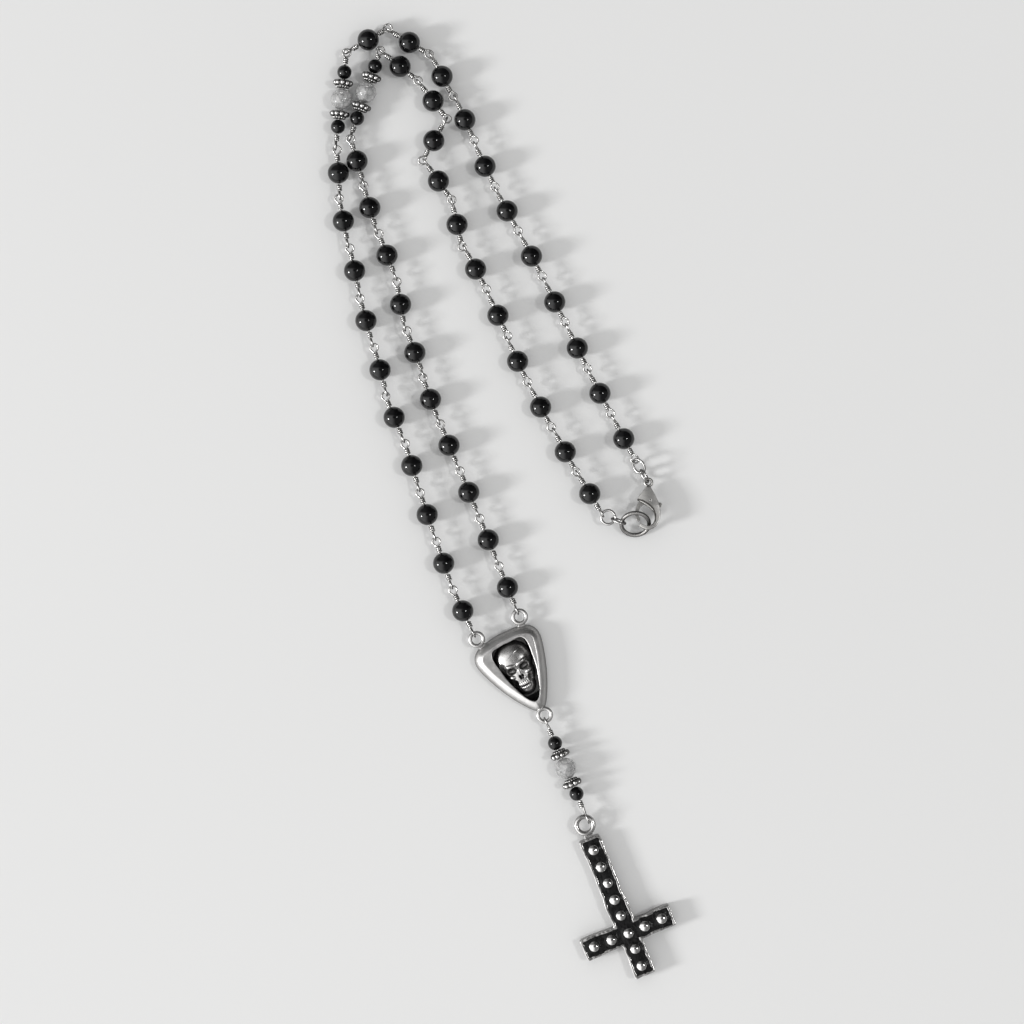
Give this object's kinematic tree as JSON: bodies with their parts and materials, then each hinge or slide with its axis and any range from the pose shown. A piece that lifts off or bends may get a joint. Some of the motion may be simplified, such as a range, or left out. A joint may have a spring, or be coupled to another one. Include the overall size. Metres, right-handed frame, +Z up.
{
  "type": "rosary",
  "caption": "Wire-linked bead rosary with a lobster clasp, a shield-shaped centrepiece holding a skull relief, and a studded inverted cross pendant.",
  "frame": {"origin": "a point on the flat back face of the centrepiece, at its middle, on the plane that the rosary rests on", "axes": "+X to the right, +Y from the pendants along the strands, +Z up out of the resting plane, the side with the skull and studs"},
  "size_m": [0.0976, 0.2675, 0.006],
  "materials": {
    "brushed_antique_silver": "satin antique silver, darker in the hollows",
    "antique_silver_relief": "silver relief with black patina in the lines",
    "onyx_beads_on_silver_wire": "polished black stone bead on bright silver wire",
    "crystal_and_onyx_on_silver_wire": "crackled clear crystal, black stone and granulated silver spacers on silver wire",
    "bright_silver_rings": "bright silver wire",
    "aged_silver_fittings": "aged silver-plated fitting",
    "spring_steel": "thin spring steel",
    "cast_silver": "cast silver with soft irregular edges",
    "black_enamel": "rough black cold enamel",
    "polished_studs": "domed polished studs"
  },
  "bodies": {
    "centrepiece": {"centrepiece_frame": "brushed_antique_silver", "centrepiece_skull": "antique_silver_relief"},
    "left_link_01": {"left_bead_link_01": "onyx_beads_on_silver_wire"},
    "left_link_02": {"left_bead_link_02": "onyx_beads_on_silver_wire"},
    "left_link_03": {"left_bead_link_03": "onyx_beads_on_silver_wire"},
    "left_link_04": {"left_bead_link_04": "onyx_beads_on_silver_wire"},
    "left_link_05": {"left_bead_link_05": "onyx_beads_on_silver_wire"},
    "left_link_06": {"left_bead_link_06": "onyx_beads_on_silver_wire"},
    "left_link_07": {"left_bead_link_07": "onyx_beads_on_silver_wire"},
    "left_link_08": {"left_bead_link_08": "onyx_beads_on_silver_wire"},
    "left_link_09": {"left_bead_link_09": "onyx_beads_on_silver_wire"},
    "left_link_10": {"left_bead_link_10": "onyx_beads_on_silver_wire"},
    "left_accent_link": {"left_accent_link": "crystal_and_onyx_on_silver_wire"},
    "left_link_11": {"left_bead_link_11": "onyx_beads_on_silver_wire"},
    "left_link_12": {"left_bead_link_12": "onyx_beads_on_silver_wire"},
    "left_link_13": {"left_bead_link_13": "onyx_beads_on_silver_wire"},
    "left_link_14": {"left_bead_link_14": "onyx_beads_on_silver_wire"},
    "left_link_15": {"left_bead_link_15": "onyx_beads_on_silver_wire"},
    "left_link_16": {"left_bead_link_16": "onyx_beads_on_silver_wire"},
    "left_link_17": {"left_bead_link_17": "onyx_beads_on_silver_wire"},
    "left_link_18": {"left_bead_link_18": "onyx_beads_on_silver_wire"},
    "left_link_19": {"left_bead_link_19": "onyx_beads_on_silver_wire"},
    "left_link_20": {"left_bead_link_20": "onyx_beads_on_silver_wire"},
    "left_link_21": {"left_bead_link_21": "onyx_beads_on_silver_wire"},
    "right_link_01": {"right_bead_link_01": "onyx_beads_on_silver_wire"},
    "right_link_02": {"right_bead_link_02": "onyx_beads_on_silver_wire"},
    "right_link_03": {"right_bead_link_03": "onyx_beads_on_silver_wire"},
    "right_link_04": {"right_bead_link_04": "onyx_beads_on_silver_wire"},
    "right_link_05": {"right_bead_link_05": "onyx_beads_on_silver_wire"},
    "right_link_06": {"right_bead_link_06": "onyx_beads_on_silver_wire"},
    "right_link_07": {"right_bead_link_07": "onyx_beads_on_silver_wire"},
    "right_link_08": {"right_bead_link_08": "onyx_beads_on_silver_wire"},
    "right_link_09": {"right_bead_link_09": "onyx_beads_on_silver_wire"},
    "right_link_10": {"right_bead_link_10": "onyx_beads_on_silver_wire"},
    "right_accent_link": {"right_accent_link": "crystal_and_onyx_on_silver_wire"},
    "right_link_11": {"right_bead_link_11": "onyx_beads_on_silver_wire"},
    "right_link_12": {"right_bead_link_12": "onyx_beads_on_silver_wire"},
    "right_link_13": {"right_bead_link_13": "onyx_beads_on_silver_wire"},
    "right_link_14": {"right_bead_link_14": "onyx_beads_on_silver_wire"},
    "right_link_15": {"right_bead_link_15": "onyx_beads_on_silver_wire"},
    "right_link_16": {"right_bead_link_16": "onyx_beads_on_silver_wire"},
    "right_link_17": {"right_bead_link_17": "onyx_beads_on_silver_wire"},
    "right_link_18": {"right_bead_link_18": "onyx_beads_on_silver_wire"},
    "right_link_19": {"right_bead_link_19": "onyx_beads_on_silver_wire"},
    "right_link_20": {"right_bead_link_20": "onyx_beads_on_silver_wire"},
    "right_link_21": {"right_bead_link_21": "onyx_beads_on_silver_wire"},
    "jump_ring_left_a": {"jump_ring_left_a": "bright_silver_rings"},
    "jump_ring_left_b": {"jump_ring_left_b": "bright_silver_rings"},
    "jump_ring_right_a": {"jump_ring_right_a": "bright_silver_rings"},
    "jump_ring_right_b": {"jump_ring_right_b": "bright_silver_rings"},
    "end_ring": {"end_ring": "aged_silver_fittings"},
    "clasp": {"clasp_body": "aged_silver_fittings", "clasp_pin": "aged_silver_fittings", "clasp_spring": "spring_steel"},
    "clasp_lever": {"clasp_lever": "aged_silver_fittings"},
    "pendant_link": {"pendant_accent_link": "crystal_and_onyx_on_silver_wire"},
    "cross": {"cross_body": "cast_silver", "cross_enamel": "black_enamel", "cross_studs": "polished_studs"}
  },
  "joints": [
    {"name": "clasp_lever_squeeze", "type": "hinge", "parent": "clasp", "child": "clasp_lever", "pos_m": [0.03738, 0.04685, 0.00327], "axis": [0.0034, 0.1305, 0.9914], "range_deg": [0, 14], "stiffness_Nm_per_rad": 0.004},
    {"name": "clasp_swing", "type": "hinge", "parent": "jump_ring_left_b", "child": "clasp", "pos_m": [0.03584, 0.05374, 0.00266], "axis": [0.8333, 0.476, 0.281], "range_deg": [0, 104.9]},
    {"name": "cross_turn", "type": "hinge", "parent": "pendant_link", "child": "cross", "pos_m": [0.01915, -0.044, 0.0028], "axis": [0, 0, 1], "range_deg": [-75, 75]},
    {"name": "cross_pendant_sway", "type": "hinge", "parent": "centrepiece", "child": "pendant_link", "pos_m": [0.00787, -0.01316, 0.0028], "axis": [0, 0, 1], "range_deg": [-60, 60]},
    {"name": "end_ring_spin", "type": "hinge", "parent": "jump_ring_right_b", "child": "end_ring", "pos_m": [0.03326, 0.0403, 0.00295], "axis": [0, -0.592, 0.8059], "continuous": true},
    {"name": "left_link_01_twist", "type": "hinge", "parent": "centrepiece", "child": "left_link_01", "pos_m": [-0.01211, 0.00983, 0.003], "axis": [-0.4278, 0.9039, 0], "range_deg": [-28, 28]},
    {"name": "left_link_02_twist", "type": "hinge", "parent": "left_link_01", "child": "left_link_02", "pos_m": [-0.01828, 0.02329, 0.003], "axis": [0.3277, -0.9448, 0], "range_deg": [-35, 35]},
    {"name": "left_link_03_twist", "type": "hinge", "parent": "left_link_02", "child": "left_link_03", "pos_m": [-0.02299, 0.03687, 0.003], "axis": [-0.3128, 0.9498, 0], "range_deg": [-35, 35]},
    {"name": "left_link_04_flex", "type": "hinge", "parent": "left_link_03", "child": "left_link_04", "pos_m": [-0.02743, 0.05055, 0.003], "axis": [-0.9556, -0.2945, 0], "range_deg": [-60, 60]},
    {"name": "left_link_05_flex", "type": "hinge", "parent": "left_link_04", "child": "left_link_05", "pos_m": [-0.03181, 0.06424, 0.003], "axis": [0.9251, 0.3796, 0], "range_deg": [-60, 60]},
    {"name": "left_link_06_flex", "type": "hinge", "parent": "left_link_05", "child": "left_link_06", "pos_m": [-0.03653, 0.07729, 0.003], "axis": [-0.9652, -0.2613, 0], "range_deg": [-60, 60]},
    {"name": "left_link_07_flex", "type": "hinge", "parent": "left_link_06", "child": "left_link_07", "pos_m": [-0.04046, 0.09108, 0.003], "axis": [0.9644, 0.2645, 0], "range_deg": [-60, 60]},
    {"name": "left_link_08_flex", "type": "hinge", "parent": "left_link_07", "child": "left_link_08", "pos_m": [-0.04398, 0.10497, 0.003], "axis": [-0.9772, -0.2122, 0], "range_deg": [-60, 60]},
    {"name": "left_link_09_flex", "type": "hinge", "parent": "left_link_08", "child": "left_link_09", "pos_m": [-0.04726, 0.11887, 0.003], "axis": [0.9817, 0.1905, 0], "range_deg": [-60, 60]},
    {"name": "left_link_10_flex", "type": "hinge", "parent": "left_link_09", "child": "left_link_10", "pos_m": [-0.04945, 0.13222, 0.003], "axis": [-0.998, -0.0638, 0], "range_deg": [-60, 60]},
    {"name": "left_accent_link_flex", "type": "hinge", "parent": "left_link_10", "child": "left_accent_link", "pos_m": [-0.0506, 0.14617, 0.003], "axis": [0.9932, -0.1162, 0], "range_deg": [-60, 60]},
    {"name": "left_link_11_twist", "type": "hinge", "parent": "left_accent_link", "child": "left_link_11", "pos_m": [-0.04705, 0.17261, 0.003], "axis": [-0.8606, -0.5093, 0], "range_deg": [-35, 35]},
    {"name": "left_link_12_flex", "type": "hinge", "parent": "left_link_11", "child": "left_link_12", "pos_m": [-0.03551, 0.17844, 0.003], "axis": [-0.5137, -0.858, 0], "range_deg": [-60, 60]},
    {"name": "left_link_13_flex", "type": "hinge", "parent": "left_link_12", "child": "left_link_13", "pos_m": [-0.02387, 0.17134, 0.003], "axis": [0.8819, 0.4715, 0], "range_deg": [-60, 60]},
    {"name": "left_link_14_flex", "type": "hinge", "parent": "left_link_13", "child": "left_link_14", "pos_m": [-0.01707, 0.15937, 0.003], "axis": [-0.914, -0.4056, 0], "range_deg": [-60, 60]},
    {"name": "left_link_15_flex", "type": "hinge", "parent": "left_link_14", "child": "left_link_15", "pos_m": [-0.01152, 0.1463, 0.003], "axis": [0.9056, 0.4242, 0], "range_deg": [-60, 60]},
    {"name": "left_link_16_flex", "type": "hinge", "parent": "left_link_15", "child": "left_link_16", "pos_m": [-0.00567, 0.13362, 0.003], "axis": [-0.8802, -0.4745, 0], "range_deg": [-60, 60]},
    {"name": "left_link_17_flex", "type": "hinge", "parent": "left_link_16", "child": "left_link_17", "pos_m": [0.00121, 0.12101, 0.003], "axis": [0.8852, 0.4653, 0], "range_deg": [-60, 60]},
    {"name": "left_link_18_flex", "type": "hinge", "parent": "left_link_17", "child": "left_link_18", "pos_m": [0.00787, 0.10826, 0.003], "axis": [-0.897, -0.442, 0], "range_deg": [-60, 60]},
    {"name": "left_link_19_flex", "type": "hinge", "parent": "left_link_18", "child": "left_link_19", "pos_m": [0.01422, 0.09536, 0.003], "axis": [0.899, 0.4379, 0], "range_deg": [-60, 60]},
    {"name": "left_link_20_flex", "type": "hinge", "parent": "left_link_19", "child": "left_link_20", "pos_m": [0.02037, 0.08261, 0.003], "axis": [-0.886, -0.4638, 0], "range_deg": [-60, 60]},
    {"name": "left_link_21_flex", "type": "hinge", "parent": "left_link_20", "child": "left_link_21", "pos_m": [0.02705, 0.06987, 0.003], "axis": [0.8843, 0.4668, 0], "range_deg": [-60, 60]},
    {"name": "right_link_01_twist", "type": "hinge", "parent": "centrepiece", "child": "right_link_01", "pos_m": [0.00006, 0.01623, 0.003], "axis": [0.3772, -0.9261, 0], "range_deg": [-28, 28]},
    {"name": "right_link_02_twist", "type": "hinge", "parent": "right_link_01", "child": "right_link_02", "pos_m": [-0.00551, 0.02995, 0.003], "axis": [-0.372, 0.9282, 0], "range_deg": [-35, 35]},
    {"name": "right_link_03_twist", "type": "hinge", "parent": "right_link_02", "child": "right_link_03", "pos_m": [-0.01089, 0.04329, 0.003], "axis": [0.3859, -0.9225, 0], "range_deg": [-35, 35]},
    {"name": "right_link_04_flex", "type": "hinge", "parent": "right_link_03", "child": "right_link_04", "pos_m": [-0.01647, 0.05643, 0.003], "axis": [0.9256, 0.3785, 0], "range_deg": [-60, 60]},
    {"name": "right_link_05_flex", "type": "hinge", "parent": "right_link_04", "child": "right_link_05", "pos_m": [-0.02187, 0.06923, 0.003], "axis": [-0.939, -0.3438, 0], "range_deg": [-60, 60]},
    {"name": "right_link_06_flex", "type": "hinge", "parent": "right_link_05", "child": "right_link_06", "pos_m": [-0.0262, 0.08234, 0.003], "axis": [0.9362, 0.3514, 0], "range_deg": [-60, 60]},
    {"name": "right_link_07_flex", "type": "hinge", "parent": "right_link_06", "child": "right_link_07", "pos_m": [-0.03136, 0.09549, 0.003], "axis": [-0.9854, -0.17, 0], "range_deg": [-60, 60]},
    {"name": "right_link_08_flex", "type": "hinge", "parent": "right_link_07", "child": "right_link_08", "pos_m": [-0.03394, 0.10961, 0.003], "axis": [0.9327, 0.3606, 0], "range_deg": [-60, 60]},
    {"name": "right_link_09_flex", "type": "hinge", "parent": "right_link_08", "child": "right_link_09", "pos_m": [-0.03931, 0.12275, 0.003], "axis": [-0.9609, -0.277, 0], "range_deg": [-60, 60]},
    {"name": "right_link_10_flex", "type": "hinge", "parent": "right_link_09", "child": "right_link_10", "pos_m": [-0.04283, 0.13581, 0.003], "axis": [0.9588, 0.284, 0], "range_deg": [-60, 60]},
    {"name": "right_accent_link_flex", "type": "hinge", "parent": "right_link_10", "child": "right_accent_link", "pos_m": [-0.0464, 0.14878, 0.003], "axis": [-0.9453, 0.3261, 0], "range_deg": [-60, 60]},
    {"name": "right_link_11_flex", "type": "hinge", "parent": "right_accent_link", "child": "right_link_11", "pos_m": [-0.03762, 0.17244, 0.003], "axis": [-0.6247, -0.7809, 0], "range_deg": [-60, 60]},
    {"name": "right_link_12_flex", "type": "hinge", "parent": "right_link_11", "child": "right_link_12", "pos_m": [-0.02729, 0.16386, 0.003], "axis": [0.7917, 0.611, 0], "range_deg": [-60, 60]},
    {"name": "right_link_13_flex", "type": "hinge", "parent": "right_link_12", "child": "right_link_13", "pos_m": [-0.01995, 0.15322, 0.003], "axis": [-0.8663, 0.4995, 0], "range_deg": [-60, 60]},
    {"name": "right_link_14_flex", "type": "hinge", "parent": "right_link_13", "child": "right_link_14", "pos_m": [-0.02552, 0.14161, 0.003], "axis": [0.8207, 0.5714, 0], "range_deg": [-60, 60]},
    {"name": "right_link_15_flex", "type": "hinge", "parent": "right_link_14", "child": "right_link_15", "pos_m": [-0.01807, 0.13046, 0.003], "axis": [-0.9752, -0.2212, 0], "range_deg": [-60, 60]},
    {"name": "right_link_16_flex", "type": "hinge", "parent": "right_link_15", "child": "right_link_16", "pos_m": [-0.01446, 0.11736, 0.003], "axis": [0.8829, 0.4695, 0], "range_deg": [-60, 60]},
    {"name": "right_link_17_flex", "type": "hinge", "parent": "right_link_16", "child": "right_link_17", "pos_m": [-0.00791, 0.10459, 0.003], "axis": [-0.9076, -0.4199, 0], "range_deg": [-60, 60]},
    {"name": "right_link_18_flex", "type": "hinge", "parent": "right_link_17", "child": "right_link_18", "pos_m": [-0.00242, 0.09168, 0.003], "axis": [0.9049, 0.4256, 0], "range_deg": [-60, 60]},
    {"name": "right_link_19_flex", "type": "hinge", "parent": "right_link_18", "child": "right_link_19", "pos_m": [0.00377, 0.07877, 0.003], "axis": [-0.886, -0.4636, 0], "range_deg": [-60, 60]},
    {"name": "right_link_20_flex", "type": "hinge", "parent": "right_link_19", "child": "right_link_20", "pos_m": [0.01063, 0.0662, 0.003], "axis": [0.8822, 0.4709, 0], "range_deg": [-60, 60]},
    {"name": "right_link_21_flex", "type": "hinge", "parent": "right_link_20", "child": "right_link_21", "pos_m": [0.0172, 0.05431, 0.003], "axis": [-0.8564, -0.5164, 0], "range_deg": [-45, 45]},
    {"name": "jump_ring_left_a_turn", "type": "hinge", "parent": "left_link_21", "child": "jump_ring_left_a", "pos_m": [0.03311, 0.05839, 0.003], "axis": [0, 0, 1], "range_deg": [0, 90]},
    {"name": "jump_ring_left_b_turn", "type": "hinge", "parent": "jump_ring_left_a", "child": "jump_ring_left_b", "pos_m": [0.03424, 0.05651, 0.00288], "axis": [-0.649, -0.4038, 0.6448], "range_deg": [-52, 52]},
    {"name": "jump_ring_right_a_turn", "type": "hinge", "parent": "right_link_21", "child": "jump_ring_right_a", "pos_m": [0.02564, 0.0422, 0.00321], "axis": [-0.0769, 0, 0.997], "range_deg": [0, 15]},
    {"name": "jump_ring_right_b_turn", "type": "hinge", "parent": "jump_ring_right_a", "child": "jump_ring_right_b", "pos_m": [0.02856, 0.04112, 0.00346], "axis": [0.3328, 0.9208, 0.2034], "range_deg": [0, 4]}
  ]
}
